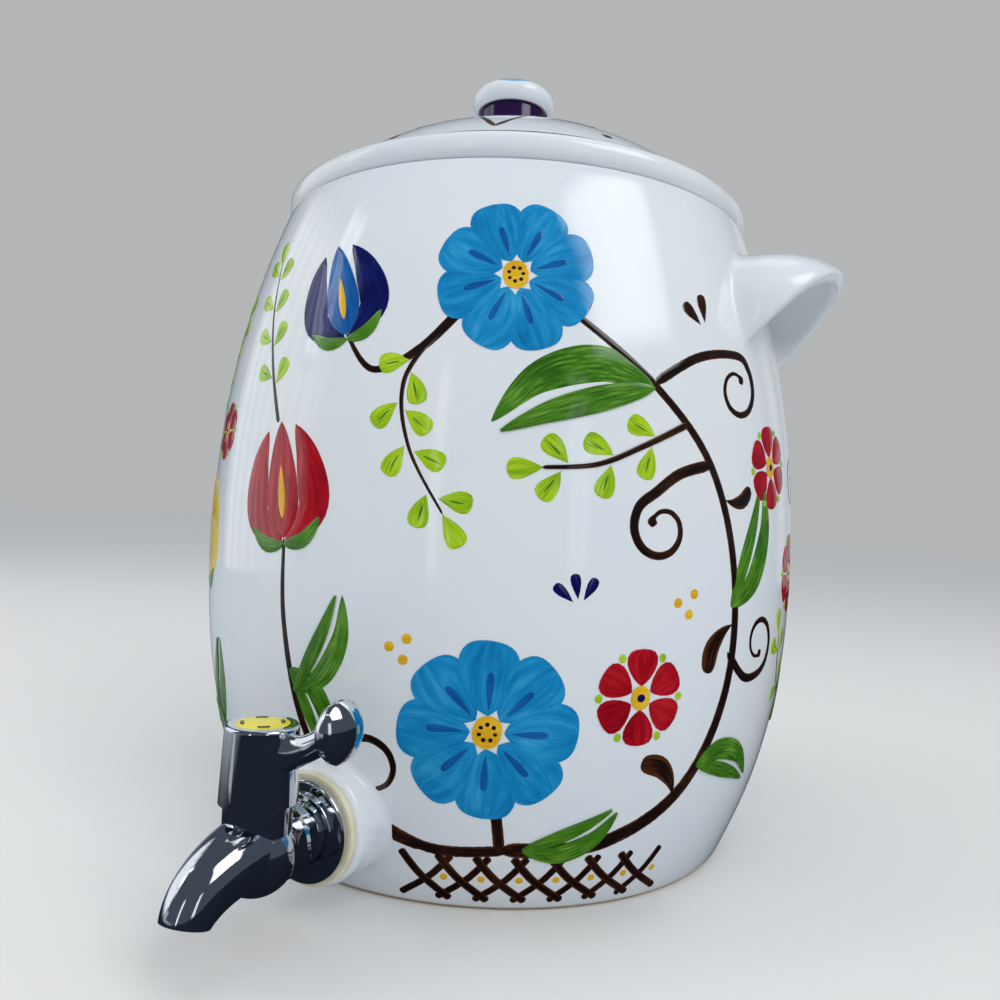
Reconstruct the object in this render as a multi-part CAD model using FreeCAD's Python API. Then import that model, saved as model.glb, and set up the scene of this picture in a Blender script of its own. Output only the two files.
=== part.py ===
"""Glazed stoneware water pot with a lid, two scoop handles and a quarter-turn tap.

Millimetres, +Z up. The origin is the centre of the foot on the table. The tap points
along -Y and the handles lie along +X and -X.
"""
import FreeCAD, Part
import math
import os
from FreeCAD import Vector

os.makedirs("parts", exist_ok=True)

# Pot
foot_radius = 104.9
belly_radius = 130.0
rim_radius = 104.1
belly_height = 120.0
body_height = 265.0
lower_fullness = 2.35
upper_fullness = 2.2
wall = 8.0
floor_thickness = 10.0
foot_groove_radius = 86.0
foot_groove_width = 6.0
foot_groove_depth = 2.0
foot_rounding = 3.5
floor_cove = 12.0
mouth_lip = 8.0
lip_depth = 10.0
rim_rounding = 2.2

# The pot is one fired piece. It is given as stacked rings, so that its hollow stays open.
wall_seam = 95.0
rim_height = 21.0

# Tap boss on the pot
tap_height = 30.1
boss_radius = 20.3
boss_reach = 13.6
boss_rounding = 3.6
boss_cove = 2.5
pad_radius = 18.0
pad_margin = 2.0
hole_clearance = 1.0

# Scoop handles
handle_radius = 37.0
handle_drop = 18.0
handle_nose_reach = 51.2
handle_tip_reach = 43.0
handle_tip_drop = 25.9
handle_rim_angle = 46.4
handle_wall = 6.0
handle_rounding = 26.0
handle_depth = 110.0

# Lid
lid_overhang = 0.6
flange_thickness = 10.7
flange_rounding = 4.8
spigot_clearance = 1.6
spigot_wall = 6.0
spigot_depth = 12.0
dome_foot_inset = 10.6
dome_radius = 139.0
dome_step = 2.1
dome_foot_rounding = 1.2
spigot_rounding = 1.5
lid_wall = 7.0
knob_radius = 19.4
knob_height = 13.0
knob_lift = 14.3
knob_crown_radius = 40.0
knob_rounding = 4.7
knob_neck_radius = 14.9
knob_shift_x = -4.0
knob_shift_y = -2.0

# Tap shank and what clamps it: a half-inch pipe thread
shank_radius = 10.48
thread_pitch = 1.814
thread_depth = 1.16
shank_bore = 6.0
ring_clearance = 0.15
outer_washer_radius = 18.9
outer_washer_thickness = 2.4
outer_washer_rounding = 0.9
backplate_radius = 17.0
backplate_thickness = 2.6
backplate_rounding = 0.9
backplate_hub_radius = 13.0
backplate_hub_height = 1.4
backplate_hub_rounding = 0.6
inner_washer_radius = 17.0
inner_washer_thickness = 2.4
inner_washer_rounding = 0.6
slip_washer_radius = 16.0
slip_washer_thickness = 1.5
slip_washer_rounding = 0.4
nut_flats = 27.0
nut_thickness = 8.0
thread_spare = 4.0
thread_shown = 3.4

# Tap body
stem_offset = 21.2
bulb_radius = 12.8
neck_radius = 10.6
neck_height = 11.9
collar_radius = 11.7
collar_thickness = 1.6
wrench_flats = 19.6
wrench_chamfer = 1.2
spout_reach = 27.2
spout_rise = 2.0
spout_drop = 13.0
spout_bend = 80.0
spout_root_radius = 11.6
spout_tip_radius = 7.3
spout_bore = 5.3
spout_sections = 7
chamber_radius = 8.4
chamber_depth = 16.0
chamber_wall = 2.0
seat_thickness = 2.5
seat_hole_radius = 4.0
lower_chamber_radius = 6.6
lower_chamber_height = 3.6
inlet_radius = 3.2

# Bonnet, spindle and discs
bonnet_collar_height = 4.0
bonnet_top_radius = 8.2
bonnet_top_height = 12.0
bonnet_skirt_wall = 1.0
window_width = 7.0
window_height = 3.6
seal_thickness = 1.6
fit_clearance = 0.05
disc_clearance = 0.1
fixed_disc_thickness = 2.5
turning_disc_thickness = 3.0
port_inner_radius = 1.6
port_outer_radius = 5.8
port_angle = 78.0
drive_slot_depth = 1.2
drive_width = 3.6
drive_height = 3.5
axial_play = 0.1
stem_radius = 3.9
oring_depth = 1.1
oring_height = 1.3
oring_rounding = 0.4
oring_squeeze = 0.02
groove_side_gap = 0.1
oring_count = 2
oring_spacing = 3.2
body_oring_depth = 1.4
body_oring_height = 1.7
clip_radius = 5.6
clip_thickness = 0.8
clip_groove = 0.7
square_flats = 5.4
square_length = 6.1

# Handle of the tap
skirt_gap = 0.4
handle_height = 23.7
handle_bottom_radius = 12.1
handle_top_radius = 11.3
handle_edge_rounding = 1.1
skirt_clearance = 1.0
handle_web = 6.4
button_radius = 8.35
button_rim = 1.1
button_thickness = 1.6
button_dome = 0.5
button_clearance = 0.05
screw_radius = 1.95
screw_head_radius = 4.6
screw_head_height = 2.0
screw_length = 14.0
screw_clearance = 0.15
screw_spare = 0.5
screw_slot_half_width = 0.5
lever_reach = 30.0
lever_rise = 1.9
lever_root_half_height = 7.0
lever_waist_half_height = 4.8
lever_half_width = 4.0
lever_root_inset = 2.5
lever_root_drop = 0.4
lever_flare = 1.2
lever_waist_reach = 4.4
lever_waist_rise = 1.3
lever_waist_slim = 0.2
lever_middle_shift = 0.8
lever_middle_sag = 0.9
lever_end_overlap = 1.4
lever_end_growth = 0.6
knob_disc_radius = 9.5
knob_disc_rim = 1.3
knob_disc_dome = 4.6
knob_disc_back = 4.2
knob_disc_step = 0.5
knob_disc_flat = 0.2

# How far a cutter runs past the face it cuts, and how close two numbers count as one
overcut = 1.0
same = 0.01

UP = Vector(0, 0, 1)
BACK = Vector(0, 1, 0)
RIGHT = Vector(1, 0, 0)


def outer_radius(z):
    """Radius of the pot's outside at height z: one smooth swelling curve each way."""
    if z < belly_height:
        drop = (belly_height - z) / belly_height
        return belly_radius - (belly_radius - foot_radius) * drop ** lower_fullness
    rise = (z - belly_height) / (body_height - belly_height)
    return belly_radius - (belly_radius - rim_radius) * rise ** upper_fullness


def inner_radius(z):
    return outer_radius(z) - wall


def curve_edge(radius_at, z_low, z_high, count=11):
    """A smooth edge in the XZ plane through count points of a radius law."""
    heights = [z_low + (z_high - z_low) * i / (count - 1) for i in range(count)]
    curve = Part.BSplineCurve()
    curve.interpolate([Vector(radius_at(z), 0, z) for z in heights])
    return curve.toShape()


def line(start, end):
    """An edge in the XZ plane between two (radius, height) points."""
    return Part.makeLine(Vector(start[0], 0, start[1]), Vector(end[0], 0, end[1]))


def arc(start, middle, end):
    points = [Vector(p[0], 0, p[1]) for p in (start, middle, end)]
    return Part.Arc(*points).toShape()


def turned(edges):
    """Turn a closed outline in the XZ plane about the Z axis."""
    face = Part.Face(Part.Wire(Part.__sortEdges__(edges)))
    return face.revolve(Vector(0, 0, 0), UP, 360)


def upright(radius, z_low, z_high, x=0.0, y=0.0):
    return Part.makeCylinder(radius, z_high - z_low, Vector(x, y, z_low), UP)


def along_y(radius, y_low, y_high, z=tap_height):
    return Part.makeCylinder(radius, y_high - y_low, Vector(0, y_low, z), BACK)


def upright_ring(outer, inner, z_low, z_high, x=0.0, y=0.0):
    return upright(outer, z_low, z_high, x, y).cut(upright(inner, z_low, z_high, x, y))


def ring_along_y(outer, inner, y_low, y_high):
    return along_y(outer, y_low, y_high).cut(along_y(inner, y_low, y_high))


def block(x_low, x_high, y_low, y_high, z_low, z_high):
    size = (x_high - x_low, y_high - y_low, z_high - z_low)
    return Part.makeBox(*size, Vector(x_low, y_low, z_low))


def hexagon_along_y(flats, y_low, y_high):
    """A hexagonal prism along Y on the shank axis, with two flats upright."""
    corner = flats / math.sqrt(3)
    points = []
    for i in range(7):
        angle = math.radians(60 * i + 90)
        x = corner * math.cos(angle)
        z = tap_height + corner * math.sin(angle)
        points.append(Vector(x, y_low, z))
    face = Part.Face(Part.makePolygon(points))
    return face.extrude(BACK * (y_high - y_low))


def edges_where(shape, test):
    return [edge for edge in shape.Edges if not edge.Degenerated and test(edge)]


def is_circle(edge, radius, z):
    curve = edge.Curve
    if not isinstance(curve, Part.Circle):
        return False
    return abs(curve.Radius - radius) < same and abs(curve.Center.z - z) < same


def rounded_circle(shape, radius, z, rounding):
    return shape.makeFillet(rounding, edges_where(shape, lambda e: is_circle(e, radius, z)))


# Heights and places that follow from the sizes above
boss_front = -(outer_radius(tap_height) + boss_reach)
backplate_back = boss_front - outer_washer_thickness
backplate_front = backplate_back - backplate_thickness
stem_y = backplate_front - stem_offset
thread_start = backplate_front - thread_shown
pad_back = -(inner_radius(tap_height - pad_radius) - pad_margin)
inner_washer_back = pad_back + inner_washer_thickness
slip_washer_back = inner_washer_back + slip_washer_thickness
nut_back = slip_washer_back + nut_thickness
shank_end = nut_back + thread_spare
mouth_radius = rim_radius - wall - mouth_lip

neck_top = tap_height + neck_height
chamber_floor = neck_top - chamber_depth
seat_underside = chamber_floor - seat_thickness
seal_top = chamber_floor + seal_thickness
fixed_disc_top = seal_top + fixed_disc_thickness
turning_disc_top = fixed_disc_top + turning_disc_thickness
drive_bottom = turning_disc_top - drive_slot_depth
drive_top = drive_bottom + drive_height
housing_top = drive_top + axial_play
collar_top = neck_top + bonnet_collar_height
bonnet_top = collar_top + bonnet_top_height
clip_bottom = bonnet_top + axial_play
square_bottom = clip_bottom + clip_thickness + axial_play
square_top = square_bottom + square_length

rim_seam = body_height - rim_height
handle_top = body_height - handle_drop
handle_nose = rim_radius + handle_nose_reach
handle_tip = rim_radius + handle_tip_reach
handle_tip_height = body_height - handle_tip_drop

skirt_bottom = collar_top + skirt_gap
handle_top_z = skirt_bottom + handle_height
web_bottom = square_bottom + axial_play
web_top = web_bottom + handle_web
knob_centre_z = handle_top_z + lever_rise


def pot_outside():
    base = foot_radius
    edges = [
        curve_edge(outer_radius, 0, body_height, 15),
        line((rim_radius, body_height), (0, body_height)),
        line((0, body_height), (0, 0)),
        line((0, 0), (base, 0)),
    ]
    solid = turned(edges)
    solid = rounded_circle(solid, base, 0, foot_rounding)
    return rounded_circle(solid, rim_radius, body_height, rim_rounding)


def pot_inside():
    lip_low = body_height - lip_depth
    shoulder = lip_low - mouth_lip
    edges = [
        curve_edge(inner_radius, floor_thickness, shoulder, 13),
        line((inner_radius(shoulder), shoulder), (mouth_radius, lip_low)),
        line((mouth_radius, lip_low), (mouth_radius, body_height)),
        line((mouth_radius, body_height), (0, body_height)),
        line((0, body_height), (0, floor_thickness)),
        line((0, floor_thickness), (inner_radius(floor_thickness), floor_thickness)),
    ]
    solid = turned(edges)
    return rounded_circle(solid, inner_radius(floor_thickness), floor_thickness, floor_cove)


def boss_edge(edge):
    """True for the seam where the boss leaves the outside of the pot."""
    box = edge.BoundBox
    outside = box.YMin < -outer_radius(tap_height - boss_radius) + wall
    return outside and box.YMin > boss_front + boss_rounding and box.ZLength > boss_radius


def shank_hole():
    return along_y(shank_radius + hole_clearance, boss_front - overcut, 0)


def pot_shell(outside):
    """The thrown wall and floor, bored for the shank, with a flat pad inside round the hole."""
    pad = along_y(pad_radius, boss_front, pad_back).common(outside)
    solid = outside.cut(pot_inside()).fuse(pad)
    groove_inner = foot_groove_radius - foot_groove_width
    groove = upright_ring(foot_groove_radius, groove_inner, 0, foot_groove_depth)
    return solid.cut([shank_hole(), groove]).removeSplitter()


def pot_ring(shell, z_low, z_high):
    reach = belly_radius + overcut
    return shell.common(block(-reach, reach, -reach, reach, z_low, z_high))


def make_tap_boss(outside):
    """The round boss that the tap is clamped to, with a cove where it leaves the wall."""
    boss = along_y(boss_radius, boss_front, 0)
    front = [e for e in boss.Edges if abs(e.BoundBox.YMax - boss_front) < same]
    boss = boss.makeFillet(boss_rounding, front)
    solid = outside.fuse(boss)
    solid = solid.makeFillet(boss_cove, edges_where(solid, boss_edge))
    return solid.cut([outside, shank_hole()])


def scoop(radius, x_centre, x_back, top, rounding):
    """A round-nosed block with a rounded top edge, the shape of the scoop or its hollow."""
    bottom = handle_top - handle_depth
    nose = upright(radius, bottom, top, x_centre)
    back = block(x_back, x_centre, -radius, radius, bottom, top)
    solid = nose.fuse(back).removeSplitter()

    def on_the_top_rim(edge):
        box = edge.BoundBox
        return box.ZMin > top - same and box.XMax > x_back + same

    return solid.makeFillet(rounding, edges_where(solid, on_the_top_rim))


def make_right_handle(outside):
    x_centre = handle_nose - handle_radius
    x_back = rim_radius - 2 * wall
    hood = scoop(handle_radius, x_centre, x_back, handle_top, handle_rounding)
    hollow = scoop(handle_radius - handle_wall, x_centre, x_back - overcut,
                   handle_top - handle_wall, handle_rounding - handle_wall)
    hood = hood.cut(hollow)
    reach = 4 * handle_radius
    below = Part.makeBox(2 * reach, reach, reach, Vector(-reach, -reach / 2, -reach))
    below.rotate(Vector(0, 0, 0), BACK, -handle_rim_angle)
    below.translate(Vector(handle_tip, 0, handle_tip_height))
    hood = hood.cut(below)
    return hood.cut(outside)


def make_left_handle(right):
    return right.mirror(Vector(0, 0, 0), RIGHT)


def dome_height(radius, r):
    """Height of a sphere's surface above its centre, at distance r from the axis."""
    return math.sqrt(radius ** 2 - r ** 2)


flange_top = body_height + flange_thickness
lid_radius = rim_radius + lid_overhang
dome_foot = lid_radius - dome_foot_inset
dome_centre = flange_top + dome_step - dome_height(dome_radius, dome_foot)


def make_lid():
    outer = mouth_radius - spigot_clearance
    inner = outer - spigot_wall
    low = body_height - spigot_depth
    hollow = dome_radius - lid_wall

    def on_sphere(radius, r):
        return (r, dome_centre + dome_height(radius, r))

    edges = [
        arc(on_sphere(hollow, 0), on_sphere(hollow, inner / 2), on_sphere(hollow, inner)),
        line(on_sphere(hollow, inner), (inner, low)),
        line((inner, low), (outer, low)),
        line((outer, low), (outer, body_height)),
        line((outer, body_height), (lid_radius, body_height)),
        line((lid_radius, body_height), (lid_radius, flange_top)),
        line((lid_radius, flange_top), (dome_foot, flange_top)),
        line((dome_foot, flange_top), on_sphere(dome_radius, dome_foot)),
        arc(on_sphere(dome_radius, dome_foot), on_sphere(dome_radius, dome_foot / 2),
            on_sphere(dome_radius, 0)),
        line(on_sphere(dome_radius, 0), on_sphere(hollow, 0)),
    ]
    solid = turned(edges)
    solid = rounded_circle(solid, lid_radius, body_height, flange_rounding)
    solid = rounded_circle(solid, lid_radius, flange_top, flange_rounding)
    solid = rounded_circle(solid, dome_foot, flange_top + dome_step, dome_foot_rounding)
    return rounded_circle(solid, outer, low, spigot_rounding)


def make_lid_knob():
    """A squat crowned drum with fully rounded edges on a short neck, standing on the dome."""
    dome_top = dome_centre + dome_radius
    knob_low = dome_top + knob_lift
    knob_high = knob_low + knob_height
    drum = upright(knob_radius, knob_low, knob_high)
    crown = Part.makeSphere(knob_crown_radius, Vector(0, 0, knob_high - knob_crown_radius))
    cap = drum.common(crown)
    rim = edges_where(cap, lambda e: e.BoundBox.ZLength < same and e.BoundBox.XLength > knob_radius)
    cap = cap.makeFillet(knob_rounding, rim)
    neck = upright(knob_neck_radius, dome_top - knob_height, knob_low + knob_rounding)
    knob = cap.fuse(neck)
    knob.translate(Vector(knob_shift_x, knob_shift_y, 0))
    dome = Part.makeSphere(dome_radius, Vector(0, 0, dome_centre))
    return knob.cut(dome)


def make_backplate():
    bore = shank_radius + ring_clearance
    plate = along_y(backplate_radius, backplate_front, backplate_back)
    front = [e for e in plate.Edges if abs(e.BoundBox.YMax - backplate_front) < same]
    plate = plate.makeFillet(backplate_rounding, front)
    hub = along_y(backplate_hub_radius, backplate_front - backplate_hub_height, backplate_back)
    face = [e for e in hub.Edges if e.BoundBox.YMax < backplate_front - same]
    hub = hub.makeFillet(backplate_hub_rounding, face)
    solid = plate.fuse(hub)
    return solid.cut(along_y(bore, backplate_front - thread_shown, backplate_back))


def make_washer(radius, y_low, y_high, rounding):
    solid = ring_along_y(radius, shank_radius + ring_clearance, y_low, y_high)

    def on_the_outside(edge):
        box = edge.BoundBox
        return box.XLength > 2 * radius - same and box.YLength < same

    return solid.makeFillet(rounding, edges_where(solid, on_the_outside))


def make_lock_nut():
    solid = hexagon_along_y(nut_flats, slip_washer_back, nut_back)
    corner = nut_flats / math.sqrt(3)
    chamfer = corner - nut_flats / 2
    round_off = Part.makeCone(corner + nut_thickness - chamfer, nut_flats / 2, nut_thickness,
                              Vector(0, slip_washer_back, tap_height), BACK)
    solid = solid.common(round_off)
    return solid.cut(along_y(shank_radius + fit_clearance, slip_washer_back, nut_back))


def thread_outline(start, end):
    """Points (distance along Y, radius) of a row of thread ridges between two places."""
    root = shank_radius - thread_depth
    count = int((end - start) / thread_pitch)
    pitch = (end - start) / count
    points = [(start, root)]
    for i in range(count):
        points.append((start + (i + 0.5) * pitch, shank_radius))
        points.append((start + (i + 1) * pitch, root))
    return points


def make_shank():
    points = thread_outline(thread_start, shank_end)
    outline = [Vector(0, thread_start, tap_height)]
    outline += [Vector(radius, y, tap_height) for y, radius in points]
    outline.append(Vector(0, shank_end, tap_height))
    outline.append(outline[0])
    face = Part.Face(Part.makePolygon(outline))
    return face.revolve(Vector(0, 0, tap_height), BACK, 360)


def spout_point(turn):
    """Centre and direction of the spout where its line has turned by an angle."""
    end = math.radians(spout_bend)
    y = stem_y - spout_reach * math.sin(turn) / math.sin(end)
    z = tap_height + spout_rise - spout_drop * (1 - math.cos(turn)) / (1 - math.cos(end))
    dy = -spout_reach * math.cos(turn) / math.sin(end)
    dz = -spout_drop * math.sin(turn) / (1 - math.cos(end))
    return Vector(0, y, z), Vector(0, dy, dz).normalize()


def spout_tube(root_radius, tip_radius):
    """A bent tube along the spout's line, tapering from its root to its tip."""
    wires = []
    for i in range(spout_sections):
        share = i / (spout_sections - 1)
        centre, direction = spout_point(share * math.radians(spout_bend))
        radius = root_radius + (tip_radius - root_radius) * share
        wires.append(Part.Wire(Part.Circle(centre, direction, radius).toShape()))
    return Part.makeLoft(wires, True, False)


def make_tap_body():
    bulb = Part.makeSphere(bulb_radius, Vector(0, stem_y, tap_height))
    neck = upright(neck_radius, tap_height, neck_top, 0, stem_y)
    collar_y = stem_y + bulb_radius - 1.5 * collar_thickness
    collar = along_y(collar_radius, collar_y, collar_y + collar_thickness)
    flats = hexagon_along_y(wrench_flats, stem_y, thread_start)
    corner = wrench_flats / math.sqrt(3)
    length = thread_start - stem_y
    round_off = Part.makeCone(corner - wrench_chamfer + length, corner - wrench_chamfer, length,
                              Vector(0, stem_y, tap_height), BACK)
    flats = flats.common(round_off)
    spout = spout_tube(spout_root_radius, spout_tip_radius)
    solid = bulb.fuse([neck, collar, flats, make_shank(), spout])
    chamber = upright(chamber_radius, chamber_floor, neck_top, 0, stem_y)
    above = upright(neck_radius + fit_clearance, neck_top, neck_top + bulb_radius, 0, stem_y)
    seat = upright(seat_hole_radius, seat_underside - overcut, chamber_floor + overcut, 0, stem_y)
    lower_floor = seat_underside - lower_chamber_height
    lower = upright(lower_chamber_radius, lower_floor, seat_underside, 0, stem_y)
    bore_end = stem_y + chamber_radius + chamber_wall
    bore = along_y(shank_bore, bore_end, shank_end + overcut)
    start = Vector(0, bore_end + inlet_radius, tap_height - shank_bore + inlet_radius)
    target = Vector(0, stem_y, lower_floor + inlet_radius)
    inlet = Part.makeCylinder(inlet_radius, (target - start).Length, start, target - start)
    tip, direction = spout_point(math.radians(spout_bend))
    mouth = Part.makeCylinder(spout_bore, spout_tip_radius, tip, direction)
    outlet = spout_tube(spout_bore, spout_bore)
    return solid.cut([chamber, above, seat, lower, bore, inlet, outlet, mouth])


def make_seat_seal():
    outer = chamber_radius - fit_clearance
    return upright_ring(outer, seat_hole_radius, chamber_floor, seal_top, 0, stem_y)


disc_radius = chamber_radius - fit_clearance - bonnet_skirt_wall - disc_clearance


def ports(z_low, z_high, middle_angle):
    """Two opposite fan-shaped holes centred on an angle."""
    ring = upright_ring(port_outer_radius, port_inner_radius, z_low, z_high, 0, stem_y)
    reach = 2 * port_outer_radius
    wedges = []
    for side in (0, 180):
        low = math.radians(middle_angle + side - port_angle / 2)
        high = math.radians(middle_angle + side + port_angle / 2)
        points = [Vector(0, stem_y, z_low)]
        points.append(Vector(reach * math.cos(low), stem_y + reach * math.sin(low), z_low))
        points.append(Vector(reach * math.cos(high), stem_y + reach * math.sin(high), z_low))
        points.append(points[0])
        wedges.append(Part.Face(Part.makePolygon(points)).extrude(UP * (z_high - z_low)))
    return ring.common(wedges[0].fuse(wedges[1]))


def make_fixed_disc():
    disc = upright(disc_radius, seal_top, fixed_disc_top, 0, stem_y)
    return disc.cut(ports(seal_top, fixed_disc_top, 0))


def drive_bar(half_length, half_width, z_low, z_high):
    y_low, y_high = stem_y - half_width, stem_y + half_width
    return block(-half_length, half_length, y_low, y_high, z_low, z_high)


def make_turning_disc():
    disc = upright(disc_radius, fixed_disc_top, turning_disc_top, 0, stem_y)
    disc = disc.cut(ports(fixed_disc_top, turning_disc_top, 90))
    slot = drive_bar(disc_radius + overcut, drive_width / 2, drive_bottom, turning_disc_top)
    return disc.cut(slot)


def groove_ring(outer, depth, height, z):
    """The ring-shaped cut that holds a sealing ring in a round outside, centred at height z."""
    half = height / 2 + groove_side_gap
    return upright_ring(outer + overcut, outer - depth, z - half, z + half, 0, stem_y)


def sealing_ring(outer, depth, height, z):
    """A rubber ring lying on the floor of its groove, squashed to a rounded square section."""
    half = height / 2
    ring = upright_ring(outer - oring_squeeze, outer - depth, z - half, z + half, 0, stem_y)
    faces = edges_where(ring, lambda e: e.BoundBox.ZLength < same)
    return ring.makeFillet(oring_rounding, faces)


def bonnet_radius():
    return chamber_radius - fit_clearance


def bonnet_groove_z():
    return (housing_top + neck_top) / 2


def make_bonnet():
    outer = bonnet_radius()
    skirt = upright(outer, seal_top, neck_top, 0, stem_y)
    collar = upright(neck_radius, neck_top, collar_top, 0, stem_y)
    top = upright(bonnet_top_radius, collar_top, bonnet_top, 0, stem_y)
    solid = skirt.fuse([collar, top])
    housing = upright(outer - bonnet_skirt_wall, seal_top, housing_top, 0, stem_y)
    bore = upright(stem_radius + fit_clearance, housing_top, bonnet_top, 0, stem_y)
    window = block(-window_width / 2, window_width / 2, stem_y - outer - overcut,
                   stem_y + outer + overcut, housing_top - window_height, housing_top)
    groove = groove_ring(outer, body_oring_depth, body_oring_height, bonnet_groove_z())
    return solid.cut([housing, bore, window, groove])


def make_bonnet_oring():
    return sealing_ring(bonnet_radius(), body_oring_depth, body_oring_height, bonnet_groove_z())


def oring_heights():
    first = housing_top + oring_spacing
    return [first + i * oring_spacing for i in range(oring_count)]


def make_oring(z):
    return sealing_ring(stem_radius, oring_depth, oring_height, z)


def square_prism(flats, z_low, z_high):
    half = flats / 2
    return block(-half, half, stem_y - half, stem_y + half, z_low, z_high)


def make_spindle():
    half_width = drive_width / 2 - disc_clearance
    bar = drive_bar(disc_radius - disc_clearance, half_width, drive_bottom, drive_top)
    stem = upright(stem_radius, turning_disc_top + axial_play, square_bottom, 0, stem_y)
    square = square_prism(square_flats, square_bottom, square_top)
    solid = stem.fuse([square, bar])
    for z in oring_heights():
        solid = solid.cut(groove_ring(stem_radius, oring_depth, oring_height, z))
    groove = upright_ring(stem_radius + overcut, stem_radius - clip_groove, clip_bottom,
                          clip_bottom + clip_thickness, 0, stem_y)
    hole_bottom = web_top - screw_length - screw_spare
    hole = upright(screw_radius + screw_clearance, hole_bottom, square_top, 0, stem_y)
    return solid.cut([groove, hole])


def make_spindle_clip():
    inner = stem_radius - clip_groove
    clip_top = clip_bottom + clip_thickness
    ring = upright_ring(clip_radius, inner, clip_bottom, clip_top, 0, stem_y)
    gap = block(0, clip_radius + overcut, stem_y - inner / 2, stem_y + inner / 2,
                clip_bottom - overcut, clip_top + overcut)
    return ring.cut(gap)


def upright_oval(x, half_width, half_height, z):
    """A closed oval in the plane x, taller or wider as asked, centred on the lever."""
    points = []
    for i in range(12):
        angle = 2 * math.pi * i / 12
        y = stem_y + half_width * math.cos(angle)
        points.append(Vector(x, y, z + half_height * math.sin(angle)))
    curve = Part.BSplineCurve()
    curve.interpolate(points, True)
    return Part.Wire(curve.toShape())


def make_lever_neck():
    """The lever from the cone to the back of its round end, dipping in between."""
    root_z = handle_top_z - lever_root_half_height - lever_root_drop
    waist_z = root_z + lever_waist_rise
    middle_z = (waist_z + knob_centre_z) / 2 - lever_middle_sag
    end_z = knob_centre_z - lever_end_overlap
    root_x = handle_top_radius - lever_root_inset
    waist_x = handle_top_radius + lever_waist_reach
    back_x = lever_reach - knob_disc_rim / 2 - knob_disc_back
    middle_x = (waist_x + back_x) / 2 + lever_middle_shift
    end_x = back_x + lever_end_overlap
    wide = lever_half_width + lever_flare
    slim = lever_half_width - lever_waist_slim
    end_half_height = lever_waist_half_height + lever_end_growth
    ovals = [
        upright_oval(root_x, wide, lever_root_half_height, root_z),
        upright_oval(waist_x, slim, lever_waist_half_height, waist_z),
        upright_oval(middle_x, lever_half_width, lever_waist_half_height, middle_z),
        upright_oval(end_x, wide, end_half_height, end_z),
    ]
    return Part.makeLoft(ovals, True, False)


def make_lever_knob():
    """The button-shaped end of the lever: a domed disc with a rounded back, facing along X."""
    rim_back = lever_reach - knob_disc_rim / 2
    centre = Vector(rim_back, stem_y, knob_centre_z)
    disc = Part.makeCylinder(knob_disc_radius, knob_disc_rim + knob_disc_dome, centre, RIGHT)
    dome_curve = (knob_disc_radius ** 2 + knob_disc_dome ** 2) / (2 * knob_disc_dome)
    apex = rim_back + knob_disc_rim + knob_disc_dome
    ball = Part.makeSphere(dome_curve, Vector(apex - dome_curve, stem_y, knob_centre_z))
    disc = disc.common(ball)
    back = Part.makeCylinder(knob_disc_radius - knob_disc_step, knob_disc_back,
                             Vector(rim_back - knob_disc_back, stem_y, knob_centre_z), RIGHT)
    far = [e for e in back.Edges if e.BoundBox.XMax < rim_back - same]
    back = back.makeFillet(knob_disc_back - knob_disc_flat, far)
    return disc.fuse(back)


def make_tap_handle():
    cone = Part.makeCone(handle_bottom_radius, handle_top_radius, handle_height,
                         Vector(0, stem_y, skirt_bottom), UP)
    top = edges_where(cone, lambda e: is_circle(e, handle_top_radius, handle_top_z))
    cone = cone.makeFillet(handle_edge_rounding, top)
    solid = cone.fuse([make_lever_neck(), make_lever_knob()])
    cavity = upright(bonnet_top_radius + skirt_clearance, skirt_bottom - overcut, web_bottom, 0, stem_y)
    recess = upright(button_radius + button_clearance, web_top, handle_top_z + overcut, 0, stem_y)
    socket = square_prism(square_flats + 2 * fit_clearance, web_bottom - overcut, web_top + overcut)
    return solid.cut([cavity, recess, socket])


def make_handle_screw():
    shank = upright(screw_radius, web_top - screw_length, web_top, 0, stem_y)
    head = upright(screw_head_radius, web_top, web_top + screw_head_height, 0, stem_y)
    slot = block(-screw_head_radius, screw_head_radius, stem_y - screw_slot_half_width,
                 stem_y + screw_slot_half_width, web_top + screw_head_height / 2,
                 web_top + screw_head_height)
    return shank.fuse(head).cut(slot)


def make_index_button():
    face_z = handle_top_z
    under = face_z - button_thickness
    skirt = upright_ring(button_radius, button_radius - button_rim, web_top, face_z, 0, stem_y)
    plate = upright(button_radius, under, face_z, 0, stem_y)
    crown_radius = (button_radius ** 2 + button_dome ** 2) / (2 * button_dome)
    crown = Part.makeSphere(crown_radius, Vector(0, stem_y, face_z + button_dome - crown_radius))
    crown = crown.common(upright(button_radius, face_z, face_z + overcut, 0, stem_y))
    return skirt.fuse([plate, crown]).removeSplitter()


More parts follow.
